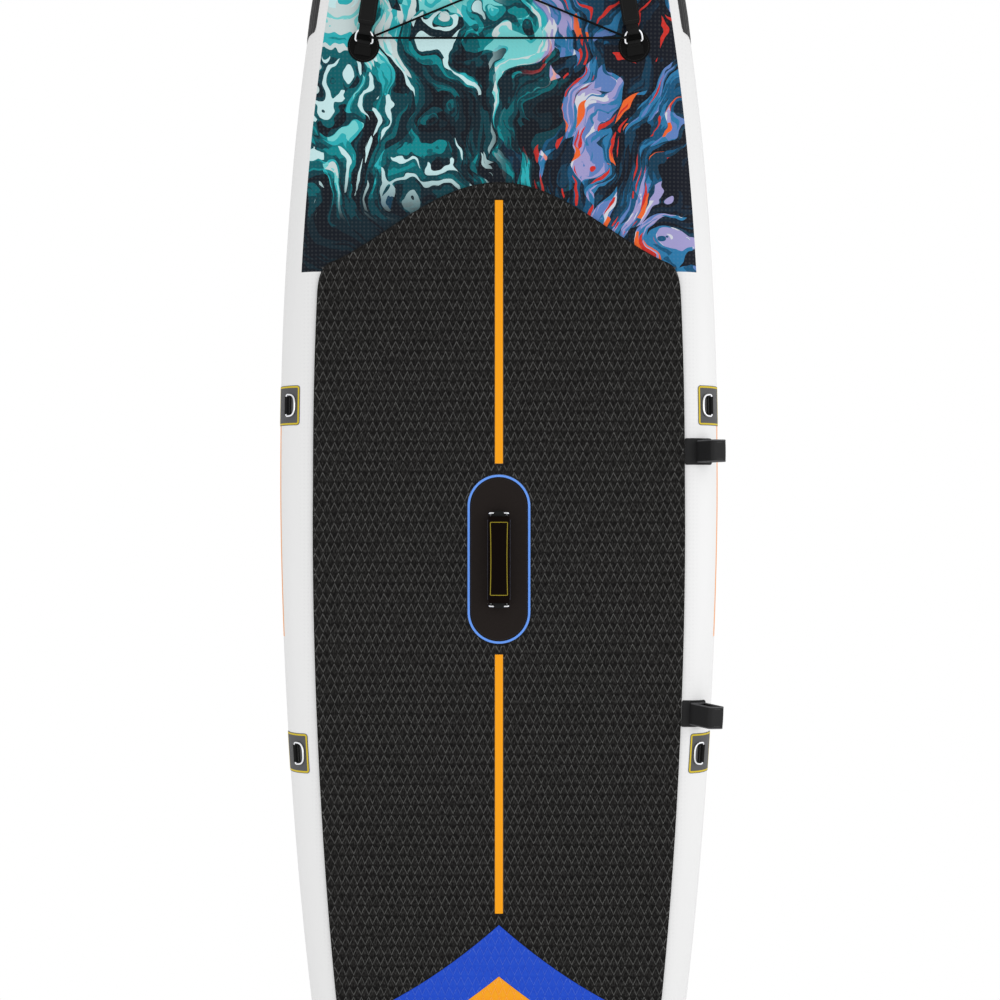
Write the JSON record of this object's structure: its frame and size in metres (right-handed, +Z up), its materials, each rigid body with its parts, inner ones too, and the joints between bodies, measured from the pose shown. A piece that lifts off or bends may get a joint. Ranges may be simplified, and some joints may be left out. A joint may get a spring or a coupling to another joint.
{
  "type": "stand-up paddle board",
  "caption": "Inflatable stand-up paddle board with a grooved deck pad, carry handle, bungee cargo lashing, rail rings, paddle holders and fins",
  "frame": {"origin": "On the flat of the hull, midway between nose and tail, on the board's middle line", "axes": "+Y towards the nose, +X to the board's right (the side with the paddle holders), +Z up through the deck"},
  "size_m": [0.838, 3.3503, 0.4953],
  "materials": {
    "white_pvc": "satin",
    "chamber_fabric": "matte",
    "guard_black": "satin",
    "pad_foam": "matte",
    "foam_blue": "matte",
    "foam_orange": "matte",
    "handle_brown": "matte",
    "border_blue": "matte",
    "ring_patch_grey": "matte",
    "black_webbing": "matte",
    "neoprene": "matte",
    "stainless_steel": "satin",
    "bungee_cord": "matte",
    "black_plastic": "satin",
    "valve_grey": "satin"
  },
  "bodies": {
    "board": {"air_chamber": "chamber_fabric", "bungee_cord": "bungee_cord", "cargo_patch_left_front": "black_webbing", "cargo_patch_left_rear": "black_webbing", "cargo_patch_right_front": "black_webbing", "cargo_patch_right_rear": "black_webbing", "cargo_ring_left_front": "stainless_steel", "cargo_ring_left_rear": "stainless_steel", "cargo_ring_right_front": "stainless_steel", "cargo_ring_right_rear": "stainless_steel", "cargo_sleeve_left": "neoprene", "cargo_sleeve_right": "neoprene", "cargo_strap_left": "black_webbing", "cargo_strap_right": "black_webbing", "chevron_blue": "foam_blue", "chevron_orange": "foam_orange", "cord_ferrule": "stainless_steel", "deck_pad": "pad_foam", "deck_skin": "white_pvc", "fin_box": "black_plastic", "handle_border": "border_blue", "handle_grip": "neoprene", "handle_patch": "handle_brown", "handle_ring_front": "stainless_steel", "handle_ring_rear": "stainless_steel", "handle_strap": "black_webbing", "hull_skin": "white_pvc", "leash_patch": "black_webbing", "nose_rail_guard": "guard_black", "paddle_holder_front": "black_webbing", "paddle_holder_patch_front": "black_webbing", "paddle_holder_patch_rear": "black_webbing", "paddle_holder_rear": "black_webbing", "rail_patch_left_front": "ring_patch_grey", "rail_patch_left_rear": "ring_patch_grey", "rail_patch_right_front": "ring_patch_grey", "rail_patch_right_rear": "ring_patch_grey", "rail_tab_left_front": "black_webbing", "rail_tab_left_rear": "black_webbing", "rail_tab_right_front": "black_webbing", "rail_tab_right_rear": "black_webbing", "rail_wall": "white_pvc", "side_fin_left": "black_plastic", "side_fin_right": "black_plastic", "stripe_front": "foam_orange", "stripe_rear": "foam_orange", "tail_pad": "pad_foam", "tow_patch": "black_webbing", "valve_body": "valve_grey"},
    "rail_ring_left_front_body": {"rail_ring_left_front": "stainless_steel"},
    "rail_ring_left_rear_body": {"rail_ring_left_rear": "stainless_steel"},
    "rail_ring_right_front_body": {"rail_ring_right_front": "stainless_steel"},
    "rail_ring_right_rear_body": {"rail_ring_right_rear": "stainless_steel"},
    "tow_ring_body": {"tow_ring": "stainless_steel"},
    "leash_ring_body": {"leash_ring": "stainless_steel"},
    "valve_stem_body": {"valve_stem": "black_plastic"},
    "valve_cap_body": {"valve_cap": "black_plastic"},
    "centre_fin_body": {"centre_fin": "black_plastic", "fin_screw": "stainless_steel"}
  },
  "joints": [
    {"name": "rail_ring_left_front_hinge", "type": "hinge", "parent": "board", "child": "rail_ring_left_front_body", "pos_m": [-0.39944, 0.2637, 0.13157], "axis": [-0.016, -0.9999, 0.0003], "range_deg": [0, 198]},
    {"name": "rail_ring_left_rear_hinge", "type": "hinge", "parent": "board", "child": "rail_ring_left_rear_body", "pos_m": [-0.38296, -0.38985, 0.13157], "axis": [0.0628, -0.998, 0.0004], "range_deg": [0, 198]},
    {"name": "rail_ring_right_front_hinge", "type": "hinge", "parent": "board", "child": "rail_ring_right_front_body", "pos_m": [0.39944, 0.2637, 0.13157], "axis": [-0.016, 0.9999, -0.0003], "range_deg": [0, 198]},
    {"name": "rail_ring_right_rear_hinge", "type": "hinge", "parent": "board", "child": "rail_ring_right_rear_body", "pos_m": [0.38296, -0.38985, 0.13157], "axis": [0.0628, 0.998, -0.0004], "range_deg": [0, 198]},
    {"name": "tow_ring_hinge", "type": "hinge", "parent": "board", "child": "tow_ring_body", "pos_m": [0, 1.45899, 0.2655], "axis": [1, 0, 0], "range_deg": [0, 165]},
    {"name": "leash_ring_hinge", "type": "hinge", "parent": "board", "child": "leash_ring_body", "pos_m": [0, -1.54979, 0.1783], "axis": [-1, 0, 0], "range_deg": [0, 165]},
    {"name": "valve_stem_push", "type": "slide", "parent": "board", "child": "valve_stem_body", "axis": [0, -0.0479, -0.9988], "range_m": [0, 0.005], "stiffness_N_per_m": 500},
    {"name": "valve_cap_hinge", "type": "hinge", "parent": "board", "child": "valve_cap_body", "pos_m": [0, -1.44374, 0.17511], "axis": [-1, 0, 0], "range_deg": [0, 155]},
    {"name": "centre_fin_slide", "type": "slide", "parent": "board", "child": "centre_fin_body", "axis": [0, 0.9988, -0.0479], "range_m": [-0.034, 0.012]}
  ]
}
